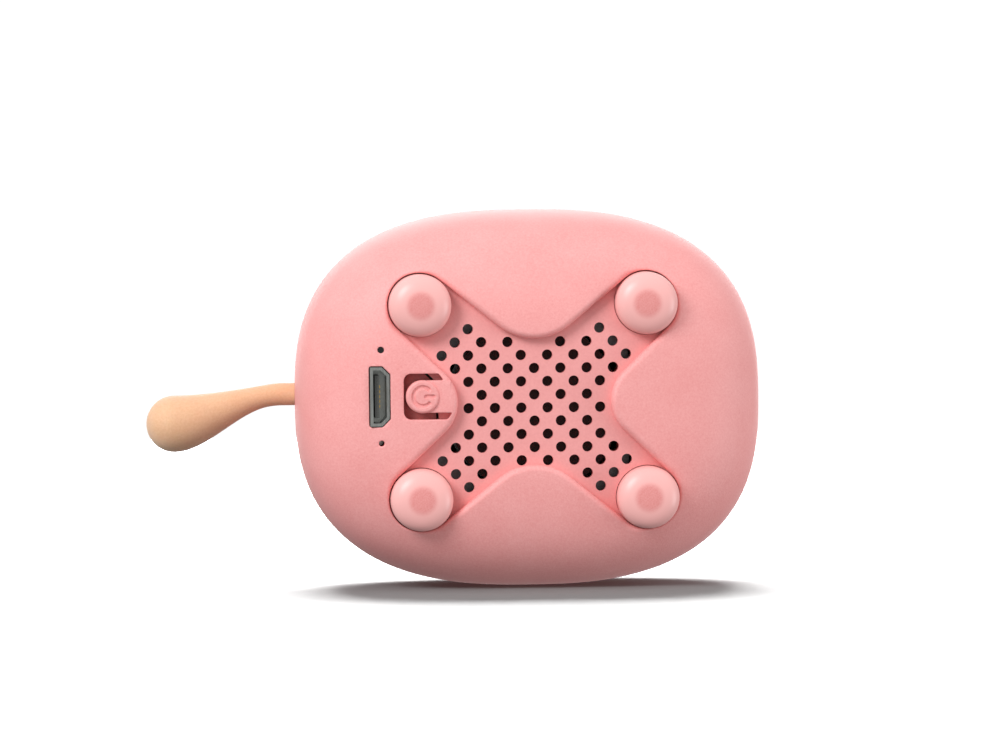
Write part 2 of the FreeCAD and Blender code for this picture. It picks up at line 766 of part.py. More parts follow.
def build_button_seal():
    """A thin elastomer sheet behind the slots that keeps splashes out, with a raised border."""
    plan = slot_block(seal_border).cut(prism(recess_outline(plate_flange + seal_border), deep, high))
    body = half_pebble(shell_wall).common(plan)
    body = body.cut(half_pebble(shell_wall + seal_sheet_gap + seal_sheet_thickness))
    well = slot_block().cut(half_pebble(shell_wall + seal_sheet_gap))
    nib_room = cylinder(button_x, panel_y, deep, seam_z, nib_radius + seal_nib_gap)
    chamber_room = cylinder(grille_x, grille_y, deep, seam_z, chamber_outer_radius + seal_border)
    return body.cut([well, nib_room, chamber_room])


def power_symbol(face):
    """The engraved ring, open towards the tongue's root, and the bar in its opening."""
    ring = tube(button_x, panel_y, face, face + symbol_depth,
                symbol_radius + symbol_line / 2, symbol_radius - symbol_line / 2)
    opening = Part.makeCylinder(button_diameter, symbol_depth, Vector(button_x, panel_y, face),
                                Vector(0, 0, 1), symbol_opening)
    opening.rotate(Vector(button_x, panel_y, 0), Vector(0, 0, 1), -symbol_opening / 2)
    bar = block(button_x + symbol_radius * 0.35, button_x + symbol_radius + symbol_line / 2,
                panel_y - symbol_line / 2, panel_y + symbol_line / 2, face, face + symbol_depth)
    return ring.cut(opening).fuse(bar)


# ---------------------------------------------------------------- battery
battery_z = tray_z + tray_thickness + pad_thickness


def build_battery():
    pouch = block(-battery_length / 2, battery_length / 2, -battery_width / 2, battery_width / 2,
                  battery_z, battery_z + battery_height)
    return pouch.makeFillet(battery_edge_radius, [e for e in pouch.Edges if e.Length > battery_height + 1])


def build_battery_tray():
    out_x = battery_length / 2 + tray_fit + tray_thickness
    out_y = battery_width / 2 + tray_fit
    floor = block(-out_x, out_x, -out_y, out_y, tray_z, tray_z + tray_thickness)
    ends = [block(min(s * out_x, s * (out_x - tray_thickness)), max(s * out_x, s * (out_x - tray_thickness)),
                  -out_y * tray_end_share, out_y * tray_end_share,
                  tray_z, tray_z + tray_thickness + tray_lip) for s in (-1, 1)]
    ears = [cylinder(s * tray_ear_x, 0, tray_z, tray_z + tray_thickness, tray_post_radius) for s in (-1, 1)]
    necks = [block(min(s * out_x, s * tray_ear_x), max(s * out_x, s * tray_ear_x),
                   -tray_post_radius, tray_post_radius, tray_z, tray_z + tray_thickness) for s in (-1, 1)]
    holes = [cylinder(s * tray_ear_x, 0, deep, high, tray_screw_radius + screw_hole_gap) for s in (-1, 1)]
    room = [cylinder(s * tray_ear_x, 0, tray_z + tray_thickness, high, tray_post_radius + 0.2)
            for s in (-1, 1)]
    return fused([floor] + ends + ears + necks).cut(holes + room)


def wire_run(points, bend):
    """A round wire along straight runs joined by arcs."""
    edges = []
    start = points[0]
    for before, corner, after in zip(points, points[1:], points[2:]):
        entry = (before - corner).normalize()
        leave = (after - corner).normalize()
        half_turn = (math.pi - entry.getAngle(leave)) / 2
        reach = bend * math.tan(half_turn)
        first = corner + reach * entry
        last = corner + reach * leave
        middle = corner + (entry + leave).normalize() * (bend / math.cos(half_turn) - bend)
        edges.append(Part.LineSegment(start, first).toShape())
        edges.append(Part.Arc(first, middle, last).toShape())
        start = last
    edges.append(Part.LineSegment(start, points[-1]).toShape())
    path = Part.Wire(edges)
    ring = Part.makeCircle(wire_radius, points[0], points[1] - points[0])
    return path.makePipeShell([Part.Wire([ring])], True, False)


# ---------------------------------------------------------------- tail
def tail_station(share):
    """Centre and radius of the tail's round section, from the root at 0 to the bulb at 1."""
    root_x = -(body_length / 2 + neck_diameter / 2 + tail_root_gap)
    bulb_x = -(tail_reach - bulb_diameter / 2)
    ease = share * share * (3 - 2 * share)
    swell = max(0.0, (share - tail_neck_share) / (1 - tail_neck_share))
    swell = swell * swell * (3 - 2 * swell)
    radius = neck_diameter / 2 + (bulb_diameter - neck_diameter) / 2 * swell
    return Vector(root_x + (bulb_x - root_x) * share, tail_y + tail_droop * ease, tail_z), radius


def build_tail():
    """A soft tapered tail: a slim neck with a round root, and a bulb at the end."""
    rings = []
    for i in range(tail_sections + 1):
        centre, radius = tail_station(i / tail_sections)
        rings.append(Part.Wire([Part.makeCircle(radius, centre, Vector(-1, 0, 0))]))
    stem = Part.makeLoft(rings, True, False)
    root, root_radius = tail_station(0)
    bulb, bulb_radius = tail_station(1)
    nose = Part.makeSphere(bulb_radius, bulb).common(
        block(bulb.x - bulb_diameter, bulb.x, -high, high, 0, high))
    knuckle = Part.makeSphere(root_radius, root).common(
        block(root.x, root.x + neck_diameter, -high, high, 0, high))
    return fused([stem, nose, knuckle])


def build_tail_anchor():
    """The tail's flanged root: a plug through the wall and a disc inside it."""
    outside = -body_length / 2
    disc_x = outside + shell_wall + anchor_set
    start = Vector(outside, tail_y, tail_z)
    along = Vector(1, 0, 0)
    plug = Part.makeCylinder(neck_diameter / 2, disc_x - start.x + 0.01, start, along)
    disc = Part.makeCylinder(anchor_radius, anchor_thickness, Vector(disc_x, tail_y, tail_z), along)
    return fused([plug, disc])


# ---------------------------------------------------------------- the pieces, one node each
def one_each():
    """Every node that is a single piece, or one piece made up of several plain shapes."""
    pieces = {}
    pieces["bottom_shell"] = build_bottom_shell()
    pieces["top_shell"] = build_top_shell()
    pieces["seal_ring"] = build_seal_ring()
    pieces["grille_plate"] = build_grille_plate()
    names = {(-1, -1): "foot_port_left", (-1, 1): "foot_port_right",
             (1, -1): "foot_nose_left", (1, 1): "foot_nose_right"}
    for (side_x, side_y), name in names.items():
        pieces[name] = build_foot(side_x * foot_x, side_y * foot_y)
    pieces["acoustic_mesh"] = plate_hollow.cut(
        half_pebble(shell_wall + plate_thickness + mesh_thickness)).common(
        cylinder(grille_x, grille_y, deep, seam_z, chamber_inner_radius - mesh_margin))
    pieces["driver_gasket"] = tube(grille_x, grille_y, chamber_top_z, driver_z,
                                   chamber_outer_radius, chamber_inner_radius)
    pieces["driver_frame"] = build_driver_frame()
    pieces["surround"] = build_surround()
    pieces["cone"] = build_cone()
    pieces["dust_cap"] = build_dust_cap()
    pieces["voice_coil"] = build_voice_coil()
    pieces["spider"] = build_spider()
    pieces["magnet_cup"] = build_magnet_cup()
    pole_top = cup_z + pole_height
    pieces["pole_piece"] = cylinder(grille_x, grille_y, cup_z, pole_top, coil_radius - coil_gap)
    pieces["magnet"] = cylinder(grille_x, grille_y, pole_top, pole_top + magnet_height, magnet_radius)
    pieces["terminal_strip"] = build_terminal_strip()
    pieces["driver_clamp"] = build_driver_clamp()
    pieces["main_board"] = build_main_board()
    pieces["port_shell"] = build_port_shell()
    pieces["port_tongue"] = build_port_tongue()
    pieces["port_contacts"] = build_port_contacts()
    pieces["light_pipe"] = build_light_pipe()
    led_y = panel_y - led_offset_y
    pieces["status_led"] = block(led_x - 0.8, led_x + 0.8, led_y - 0.4, led_y + 0.4,
                                 board_z - led_height, board_z)
    microphone_y = panel_y + led_offset_y
    pieces["microphone"] = cylinder(led_x, microphone_y, board_z - microphone_height, board_z, 1.3)
    pieces["microphone_boot"] = build_microphone_boot()
    pieces["power_button"] = build_power_button()
    pieces["button_seal"] = build_button_seal()
    switch_low = plunger_low + 0.9
    half = switch_side / 2
    pieces["switch_body"] = block(button_x - half, button_x + half, panel_y - half, panel_y + half,
                                  switch_low, board_z).cut(
        cylinder(button_x, panel_y, deep, board_z - 0.4, plunger_radius + plunger_gap))
    pieces["switch_plunger"] = cylinder(button_x, panel_y, plunger_low,
                                        board_z - 0.4 - switch_travel - 0.1, plunger_radius)
    pieces["bluetooth_chip"] = on_board(-17.0, 0.0, 4.0, 4.0, 0.9)
    pieces["amplifier_chip"] = on_board(-15.1, 4.6, 3.0, 3.0, 0.8)
    pieces["charger_chip"] = on_board(-20.6, 4.6, 2.5, 2.5, 0.8)
    pieces["power_inductor"] = on_board(-20.6, 0.8, 3.0, 3.0, 1.6)
    pieces["crystal"] = on_board(-14.4, -3.6, 1.6, 2.4, 0.7)
    pieces["battery_connector"] = on_board(-20.7, -4.0, 3.0, 3.6, 2.6)
    pieces["battery"] = build_battery()
    pieces["battery_pad"] = block(-battery_length / 2 + 3, battery_length / 2 - 3,
                                  -battery_width / 2 + 2, battery_width / 2 - 2,
                                  battery_z - pad_thickness, battery_z)
    pieces["battery_tray"] = build_battery_tray()
    pieces["tail_anchor"] = build_tail_anchor()
    pieces["tail"] = build_tail()
    return pieces


def groups():
    """Nodes that hold several identical pieces."""
    seat = screw_seat_z
    housing = [pan_screw(x, y, seat, screw_length, screw_shank_radius, screw_head_radius,
                         screw_head_height) for x, y in four_ways(foot_x, foot_y)]
    clamp = [pan_screw(p.x, p.y, clamp_z + clamp_thickness, clamp_screw_length, clamp_screw_radius,
                       2 * clamp_screw_radius, 1.0, upward=False) for p in clamp_posts()]
    board = [pan_screw(board_screw_x, panel_y + s * board_screw_offset, board_top_z,
                       board_screw_length, board_screw_radius, 2 * board_screw_radius, 0.9,
                       upward=False) for s in (-1, 1)]
    tray = [pan_screw(s * tray_ear_x, 0, tray_z, tray_thickness + tray_screw_length - 0.3,
                      tray_screw_radius, 2 * tray_screw_radius, 1.0) for s in (-1, 1)]
    spots = [(-13.6, 1.2), (-13.6, 2.4), (-15.6, -3.2), (-16.6, -6.0), (-15.4, -6.6), (-22.3, 3.0)]
    capacitors = [on_board(x, y, 0.6, 1.1, 0.55) for x, y in spots]
    return {"housing_screws": housing, "clamp_screws": clamp, "board_screws": board,
            "tray_screws": tray, "capacitors": capacitors, "battery_wires": battery_wires(),
            "speaker_wires": speaker_wires()}


def battery_wires():
    """Two leads from the end of the battery down to its connector on the board."""
    top = board_top_z + 2.6
    middle = battery_z + battery_height / 2
    wires = []
    for y in (panel_y - 3.3, panel_y - 4.7):
        points = [Vector(-battery_length / 2, y, middle),
                  Vector(-battery_length / 2 - wire_bend - 0.4, y, middle),
                  Vector(-battery_length / 2 - wire_bend - 0.4, y, top)]
        wires.append(wire_run(points, wire_bend))
    return wires


def speaker_wires():
    """Two leads from the board, over the driver's clamp, to its terminal strip."""
    land = clamp_z + basket_height + board_thickness
    over = land + 2.6
    y = grille_y + cup_radius + cup_lip + terminal_width / 2 + 0.1
    wires = []
    for i, x in enumerate((-1.4, 1.4)):
        start = Vector(board_x + 3.0, panel_y + 6.7 + 1.15 * i, board_top_z)
        end = Vector(grille_x + x, y, land)
        points = [start, Vector(start.x, start.y, over + 1.4 * i),
                  Vector(end.x, end.y, over + 1.4 * i), end]
        wires.append(wire_run(points, 0.9))
    return wires


for node, piece in one_each().items():
    write_node(node, piece)
for node, pieces in groups().items():
    write_node(node, Part.makeCompound(pieces))
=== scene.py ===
import math

import bmesh
import bpy
from mathutils import Matrix, Vector


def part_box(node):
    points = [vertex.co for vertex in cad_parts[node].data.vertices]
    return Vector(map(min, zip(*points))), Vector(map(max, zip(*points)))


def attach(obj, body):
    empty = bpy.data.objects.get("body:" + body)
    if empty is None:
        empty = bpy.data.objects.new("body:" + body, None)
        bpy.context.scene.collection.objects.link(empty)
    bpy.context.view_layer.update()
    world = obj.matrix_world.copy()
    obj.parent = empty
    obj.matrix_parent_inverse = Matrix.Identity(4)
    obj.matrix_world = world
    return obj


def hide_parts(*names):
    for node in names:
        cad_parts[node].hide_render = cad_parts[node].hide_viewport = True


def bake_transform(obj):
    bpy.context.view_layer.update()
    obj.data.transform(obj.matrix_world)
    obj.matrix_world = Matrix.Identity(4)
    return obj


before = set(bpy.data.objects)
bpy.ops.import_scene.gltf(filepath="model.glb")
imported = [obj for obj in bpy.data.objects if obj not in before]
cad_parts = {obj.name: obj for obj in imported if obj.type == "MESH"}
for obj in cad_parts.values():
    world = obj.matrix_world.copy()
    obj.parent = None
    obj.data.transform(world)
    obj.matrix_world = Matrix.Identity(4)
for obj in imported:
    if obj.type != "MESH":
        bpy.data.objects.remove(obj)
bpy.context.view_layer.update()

# A pebble-shaped wireless speaker, seen from underneath: it stands on four round feet round a
# cross-shaped recess with the sound holes, and has a soft tail at one end.
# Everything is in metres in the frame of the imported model; MM turns millimetres into metres.
MM = 0.001


# ---------------------------------------------------------------- finishes
def colour(hex_code):
    """An sRGB hex colour as the linear colour that a shader needs."""
    parts = [int(hex_code[i:i + 2], 16) / 255 for i in (1, 3, 5)]
    return tuple(p / 12.92 if p <= 0.04045 else ((p + 0.055) / 1.055) ** 2.4 for p in parts) + (1.0,)


def add(tree, kind, settings):
    """Adds one node. Each setting is a property, the value of an input, or an output to link to it."""
    made = tree.nodes.new("ShaderNode" + kind)
    for name, value in settings.items():
        if isinstance(name, str) and hasattr(made, name):
            setattr(made, name, value)
        elif isinstance(value, bpy.types.NodeSocket):
            tree.links.new(value, made.inputs[name])
        else:
            made.inputs[name].default_value = value
    return made


def blank(name):
    material = bpy.data.materials.new(name)
    material.use_nodes = True
    material.node_tree.nodes.clear()
    return material, material.node_tree


def surface(name, pale, deep, grain, relief, rough, gloss=None, metal=0.0, cloud=6.0,
            stretch=(1, 1, 1), **extra):
    """A finish in two close tones. grain is the size in mm of its finest mark, relief how deep that
    mark is in mm, rough the lowest and highest roughness, cloud the size in mm of the slow drift in
    tone, and stretch draws the marks out along an axis."""
    material, tree = blank(name)
    spot = add(tree, "TexCoord", {}).outputs["Object"]
    drawn = add(tree, "Mapping", {"Vector": spot, "Scale": stretch}).outputs["Vector"]
    fine = add(tree, "TexNoise", {"Vector": drawn, "Scale": 1 / (grain * MM), "Detail": 3.0,
                                  "Roughness": 0.65}).outputs["Fac"]
    slow = add(tree, "TexNoise", {"Vector": spot, "Scale": 1 / (cloud * MM), "Detail": 2.0}).outputs["Fac"]
    both = add(tree, "Math", {"operation": "MULTIPLY_ADD", 0: slow, 1: 0.35, 2: fine}).outputs[0]
    share = add(tree, "MapRange", {"Value": both, "From Min": 0.4, "From Max": 0.95}).outputs["Result"]
    tone = add(tree, "Mix", {"data_type": "RGBA", "Factor": share, 6: colour(deep),
                             7: colour(pale)}).outputs[2]
    roughness = add(tree, "MapRange", {"Value": both, "From Min": 0.4, "From Max": 0.95,
                                       "To Min": rough[0], "To Max": rough[1]}).outputs["Result"]
    bump = add(tree, "Bump", {"Height": fine, "Strength": 1.0, "Distance": relief * MM}).outputs["Normal"]
    settings = {"Base Color": tone, "Roughness": roughness, "Normal": bump, "Metallic": metal}
    if gloss is not None:
        settings["IOR"] = gloss
    settings.update(extra)
    shader = add(tree, "BsdfPrincipled", settings)
    add(tree, "OutputMaterial", {"Surface": shader.outputs["BSDF"]})
    return material


# Frosted polycarbonate, moulded against a spark-eroded tool: a fine even speckle that spreads the
# highlights. The speckle is about 0.06 mm in the real finish and is drawn at 0.26 mm so that it shows.
frosted_shell = surface("frosted_shell", "#FBB2B0", "#EF9896", 0.26, 0.03, (0.46, 0.6), 1.45)

# The same polycarbonate from a smoother tool: the grille floor is flatter in tone and a touch deeper.
grille_plastic = surface("grille_plastic", "#F5A8A6", "#EC9B99", 0.3, 0.004, (0.42, 0.5), 1.45)

# Thermoplastic elastomer, moulded thin for the sheet behind the slots, satin. Painted shade: its
# colour is darkened to a deep rose because little light reaches it behind the slots.
sheet_elastomer_painted_shade = surface("sheet_elastomer_painted_shade", "#C9706C", "#B45F5B", 0.35, 0.003, (0.3, 0.4), 1.5)


def worn_and_shaded_foot():
    """Thermoplastic elastomer, moulded satin: smooth, with the patch that it stands on duller and
    grainier, and deeper in tone as painted shade on the dome's centre, which faces away from the lamps."""
    material, tree = blank("foot_elastomer_worn_and_shaded")
    spot = add(tree, "TexCoord", {}).outputs["Object"]
    flat = add(tree, "Mapping", {"Vector": spot, "Scale": (1, 1, 0)}).outputs["Vector"]
    away = add(tree, "VectorMath", {"operation": "LENGTH", 0: flat}).outputs["Value"]
    patch = add(tree, "MapRange", {"Value": away, "From Min": 1.3 * MM, "From Max": 2.3 * MM, "To Min": 1.0,
                                   "To Max": 0.0, "interpolation_type": "SMOOTHSTEP"}).outputs["Result"]
    grain = add(tree, "TexNoise", {"Vector": spot, "Scale": 1 / (0.22 * MM), "Detail": 3.0}).outputs["Fac"]
    marks = add(tree, "MapRange", {"Value": grain, "From Min": 0.35, "From Max": 0.65,
                                   "To Min": 1.0, "To Max": 0.72}).outputs["Result"]
    share = add(tree, "Math", {"operation": "MULTIPLY", 0: patch, 1: marks}).outputs[0]
    # painted shade: the centre patch is mixed towards the deeper #E58F8C
    tone = add(tree, "Mix", {"data_type": "RGBA", "Factor": share, 6: colour("#FBB9B5"),
                             7: colour("#E58F8C")}).outputs[2]
    roughness = add(tree, "MapRange", {"Value": share, "To Min": 0.36, "To Max": 0.75}).outputs["Result"]
    height = add(tree, "Math", {"operation": "MULTIPLY", 0: grain, 1: patch}).outputs[0]
    bump = add(tree, "Bump", {"Height": height, "Distance": 0.03 * MM}).outputs["Normal"]
    shader = add(tree, "BsdfPrincipled", {"Base Color": tone, "Roughness": roughness, "Normal": bump,
                                          "IOR": 1.5})
    add(tree, "OutputMaterial", {"Surface": shader.outputs["BSDF"]})
    return material


standing_foot = worn_and_shaded_foot()

# Silicone rubber, moulded matt: dusty, soft-edged light with no sharp highlight.
tail_silicone = surface("tail_silicone", "#EFC29B", "#E3B088", 0.3, 0.004, (0.55, 0.66), 1.43, cloud=3.0,
                        **{"Subsurface Weight": 0.3, "Subsurface Radius": (1.0, 0.55, 0.3),
                           "Subsurface Scale": 1.5 * MM, "Sheen Weight": 0.3, "Sheen Roughness": 0.6})

# Silicone cord, extruded: plain, slightly shiny grey.
seal_silicone = surface("seal_silicone", "#C9C6C2", "#B4B0AC", 0.5, 0.002, (0.4, 0.5), 1.43)

# Dyed foam: open cells about 0.3 mm across, so it looks dull and pitted.
black_foam = surface("black_foam", "#34322F", "#1B1A19", 0.3, 0.05, (0.85, 0.95), 1.4)

# Nitrile rubber, moulded: soft black with a faint bloom.
black_rubber = surface("black_rubber", "#2E2D2C", "#1F1E1E", 0.4, 0.006, (0.5, 0.65), 1.52)

# Steel sheet, pressed and zinc plated: grey with the drawing marks left by the tool.
pressed_steel = surface("pressed_steel", "#B9BBBC", "#8F9192", 0.35, 0.004, (0.3, 0.45), metal=1.0,
                        stretch=(0.2, 1, 1))

# Nickel plate over steel: brighter and smoother than the bare pressing.
plated_steel = surface("plated_steel", "#D3D3CE", "#B2B2AD", 0.5, 0.002, (0.2, 0.32), metal=1.0)

# Machined steel screws, cleaned but not polished.
screw_steel = surface("screw_steel", "#A9A9A7", "#7F7F7D", 0.25, 0.004, (0.32, 0.46), metal=1.0)

# Folded stainless sheet for the socket, with brushing along its length. Painted shade: its colour
# is darkened to a mid grey for the shade in its recess.
port_steel = surface("port_steel", "#B9BBB7", "#8D908C", 0.12, 0.003, (0.24, 0.36), metal=1.0,
                     stretch=(1, 0.1, 1))

# Gold flash over nickel contacts.
gold_contact = surface("gold_contact", "#E9C46F", "#C79C45", 0.2, 0.002, (0.2, 0.32), metal=1.0)

# Enamelled copper wire, wound: fine rings every 0.12 mm.
copper_winding = surface("copper_winding", "#C4703A", "#8E4822", 0.12, 0.01, (0.3, 0.42), metal=1.0,
                         stretch=(0.08, 0.08, 1))

# Natural ABS, moulded, for the hidden frames: warm off-white with a matt tool finish.
inner_plastic = surface("inner_plastic", "#E6E1D8", "#D2CCC1", 0.3, 0.006, (0.45, 0.6), 1.53)

# Glass-filled nylon for the socket's blade: mid grey, dull.
port_insulator = surface("port_insulator", "#6C6D6A", "#555653", 0.2, 0.006, (0.5, 0.62), 1.53)

# Epoxy moulding compound on the chips: near black with a fine matt grain.
black_plastic = surface("black_plastic", "#2B2C2E", "#1B1C1D", 0.15, 0.006, (0.5, 0.65), 1.55)

# Natural nylon in the small connector: milky and slightly glossy.
white_nylon = surface("white_nylon", "#EFECE4", "#DEDACF", 0.3, 0.003, (0.35, 0.45), 1.53)

# Fibreglass board under green solder resist: the cloth's weave shows as a slow mottling.
circuit_board = surface("circuit_board", "#1F6B44", "#14502F", 0.4, 0.004, (0.3, 0.42), 1.5, cloud=2.0)

# Fired ceramic in the capacitors: fine, dry and tan.
ceramic_chip = surface("ceramic_chip", "#A5896A", "#8A6F52", 0.1, 0.003, (0.5, 0.62), 1.6)

# Pressed paper pulp: long fibres make a soft uneven dark grey.
cone_paper = surface("cone_paper", "#3B3936", "#252321", 0.25, 0.03, (0.75, 0.9), 1.45, stretch=(1, 0.3, 1))

# Phenolic-dipped cotton: amber cloth with a visible weave.
spider_cloth = surface("spider_cloth", "#B98A4A", "#8D642F", 0.2, 0.04, (0.6, 0.78), 1.5, stretch=(0.4, 1, 1))

# Smoked cast acrylic light pipe: near black until the light behind it is on, and glossy.
smoked_acrylic = surface("smoked_acrylic", "#1E1C1B", "#121111", 0.4, 0.001, (0.12, 0.2), 1.49)

# White package of the light-emitting diode: smooth moulded resin.
led_package = surface("led_package", "#F4F2E8", "#E2DFD0", 0.2, 0.002, (0.3, 0.4), 1.5)

# Laminated foil pouch round the cell: satin aluminium with shallow wrinkles.
battery_pouch = surface("battery_pouch", "#C4C6C8", "#9A9DA0", 2.5, 0.05, (0.32, 0.45), metal=1.0)

# Vinyl insulation on the wires: slightly glossy red.
wire_insulation = surface("wire_insulation", "#B5322B", "#8F241F", 0.4, 0.003, (0.35, 0.45), 1.53)


def woven_mesh():
    """Black polyester gauze: round threads every 0.35 mm, over and under each other."""
    material, tree = blank("black_mesh")
    spot = add(tree, "TexCoord", {}).outputs["Object"]
    apart = add(tree, "SeparateXYZ", {"Vector": spot})
    pitch = 2 * math.pi / (0.35 * MM)
    waves = []
    for axis in ("X", "Y"):
        turn = add(tree, "Math", {"operation": "MULTIPLY", 0: apart.outputs[axis], 1: pitch}).outputs[0]
        waves.append(add(tree, "Math", {"operation": "SINE", 0: turn}).outputs[0])
    weave = add(tree, "Math", {"operation": "MULTIPLY", 0: waves[0], 1: waves[1]}).outputs[0]
    tone = add(tree, "Mix", {"data_type": "RGBA", "Factor": weave, 6: colour("#161515"),
                             7: colour("#2C2A29")}).outputs[2]
    bump = add(tree, "Bump", {"Height": weave, "Distance": 0.04 * MM}).outputs["Normal"]
    shader = add(tree, "BsdfPrincipled", {"Base Color": tone, "Roughness": 0.7, "IOR": 1.57, "Normal": bump})
    add(tree, "OutputMaterial", {"Surface": shader.outputs["BSDF"]})
    return material


black_mesh = woven_mesh()

finish_of = {
    frosted_shell: ["bottom_shell", "top_shell", "power_button"],
    grille_plastic: ["grille_plate"],
    standing_foot: ["foot_port_left", "foot_port_right", "foot_nose_left", "foot_nose_right"],
    sheet_elastomer_painted_shade: ["button_seal"],
    tail_silicone: ["tail", "tail_anchor"],
    seal_silicone: ["seal_ring"],
    black_mesh: ["acoustic_mesh"],
    black_foam: ["driver_gasket", "battery_pad"],
    black_rubber: ["surround", "microphone_boot"],
    pressed_steel: ["driver_frame"],
    plated_steel: ["magnet_cup", "pole_piece", "magnet", "microphone", "crystal"],
    screw_steel: ["housing_screws", "clamp_screws", "board_screws", "tray_screws"],
    port_steel: ["port_shell"],
    gold_contact: ["port_contacts"],
    copper_winding: ["voice_coil"],
    inner_plastic: ["battery_tray", "driver_clamp"],
    port_insulator: ["port_tongue"],
    black_plastic: ["switch_body", "bluetooth_chip", "amplifier_chip", "charger_chip", "power_inductor"],
    white_nylon: ["battery_connector", "switch_plunger"],
    circuit_board: ["main_board", "terminal_strip"],
    ceramic_chip: ["capacitors"],
    cone_paper: ["cone", "dust_cap"],
    spider_cloth: ["spider"],
    smoked_acrylic: ["light_pipe"],
    led_package: ["status_led"],
    battery_pouch: ["battery"],
    wire_insulation: ["battery_wires", "speaker_wires"],
}


def paint(piece, material):
    piece.data.materials.clear()
    piece.data.materials.append(material)


for material, names in finish_of.items():
    for name in names:
        paint(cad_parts[name], material)


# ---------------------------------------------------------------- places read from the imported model
shell_low, shell_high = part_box("bottom_shell")
seam_lip = 1.5 * MM
body_centre = Vector(((shell_low.x + shell_high.x) / 2, (shell_low.y + shell_high.y) / 2,
                      shell_high.z - seam_lip))


def put(name, mesh, material, body, slot_name, *nodes):
    """Makes a piece of the object from a finished bmesh, in place of the CAD nodes it shows."""
    data = bpy.data.meshes.new(name)
    bmesh.ops.recalc_face_normals(mesh, faces=mesh.faces)
    mesh.to_mesh(data)
    mesh.free()
    piece = bpy.data.objects.new(name, data)
    bpy.context.scene.collection.objects.link(piece)
    paint(piece, material)
    for face in data.polygons:
        face.use_smooth = True
    if body is not None:
        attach(piece, body)
    if nodes:
        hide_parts(*nodes)
    return piece


def skin_rings(mesh, rings, closed=False):
    """Joins rings of the same number of points with four-sided faces, and caps both ends."""
    rows = [[mesh.verts.new(p) for p in ring] for ring in rings]
    pairs = list(zip(rows, rows[1:])) + ([(rows[-1], rows[0])] if closed else [])
    for a, b in pairs:
        for i in range(len(a)):
            j = (i + 1) % len(a)
            mesh.faces.new((a[i], a[j], b[j], b[i]))
    if not closed:
        mesh.faces.new(rows[0][::-1])
        mesh.faces.new(rows[-1])


def ring(centre, radius, along, across, count=64):
    """Points round a circle whose plane is spanned by two unit directions."""
    turns = [2 * math.pi * i / count for i in range(count)]
    return [centre + along * (radius * math.cos(t)) + across * (radius * math.sin(t)) for t in turns]


# ---------------------------------------------------------------- tail
def build_tail():
    """A slim neck that swells into a bulb, with its anchor inside the wall, all one moulding."""
    low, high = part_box("tail")
    anchor_low, anchor_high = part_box("tail_anchor")
    neck = 1.5 * MM
    bulb = 3.8 * MM
    root = Vector((high.x - neck, (anchor_low.y + anchor_high.y) / 2, (anchor_low.z + anchor_high.z) / 2))
    tip = Vector((low.x + bulb, high.y - bulb, root.z))
    rings = []
    disc = (anchor_high.y - anchor_low.y) / 2
    for x, radius in ((anchor_high.x, disc - 0.2 * MM), (anchor_high.x - 0.2 * MM, disc),
                      (anchor_high.x - 1.2 * MM, disc), (anchor_high.x - 1.4 * MM, disc - 0.2 * MM),
                      (anchor_high.x - 1.42 * MM, neck)):
        rings.append(ring(Vector((x, root.y, root.z)), radius, Vector((0, 1, 0)), Vector((0, 0, 1))))
    start = rings[-1][0].x
    for i in range(1, 12):
        x = start + (root.x - start) * i / 12
        rings.append(ring(Vector((x, root.y, root.z)), neck, Vector((0, 1, 0)), Vector((0, 0, 1))))
    steps = 40
    for i in range(steps + 1):
        s = i / steps
        ease = s * s * (3 - 2 * s)
        swell = max(0.0, (s - 0.12) / 0.88)
        radius = neck + (bulb - neck) * swell * swell * (3 - 2 * swell)
        centre = root.lerp(tip, s)
        centre.y = root.y + (tip.y - root.y) * ease
        rings.append(ring(centre, radius, Vector((0, 1, 0)), Vector((0, 0, 1))))
    for i in range(1, 16):
        t = 0.5 * math.pi * i / 16
        rings.append(ring(tip - Vector((bulb * math.sin(t), 0, 0)), bulb * math.cos(t),
                          Vector((0, 1, 0)), Vector((0, 0, 1))))
    mesh = bmesh.new()
    skin_rings(mesh, rings)
    tail = put("tail_moulding", mesh, tail_silicone, None, "tail_silicone", "tail", "tail_anchor")
    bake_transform(tail)


build_tail()


# ---------------------------------------------------------------- the belly's surface
plan_power = 2.62
belly_power = 3.5
half_x = (shell_high.x - shell_low.x) / 2
half_y = (shell_high.y - shell_low.y) / 2
belly_depth = body_centre.z - 1.0 * MM
wall = 1.8 * MM


def belly_height(x, y, inset=0.0):
    """Height of the belly's skin over a point of the plan, measured from the body's middle."""
    reach = (abs(x / (half_x - inset)) ** plan_power
             + abs(y / (half_y - inset)) ** plan_power) ** (1 / plan_power)
    rise = max(0.0, 1 - reach ** belly_power) ** (1 / belly_power)
    return body_centre.z - (belly_depth - inset) * rise


def place(x, y, z):
    return Vector((body_centre.x + x, body_centre.y + y, z))


def smooth(t):
    t = min(1.0, max(0.0, t))
    return t * t * (3 - 2 * t)


foot_low, foot_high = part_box("foot_nose_right")
foot_radius = (foot_high.x - foot_low.x) / 2
foot_spot = Vector(((foot_low.x + foot_high.x) / 2 - body_centre.x,
                    (foot_low.y + foot_high.y) / 2 - body_centre.y))


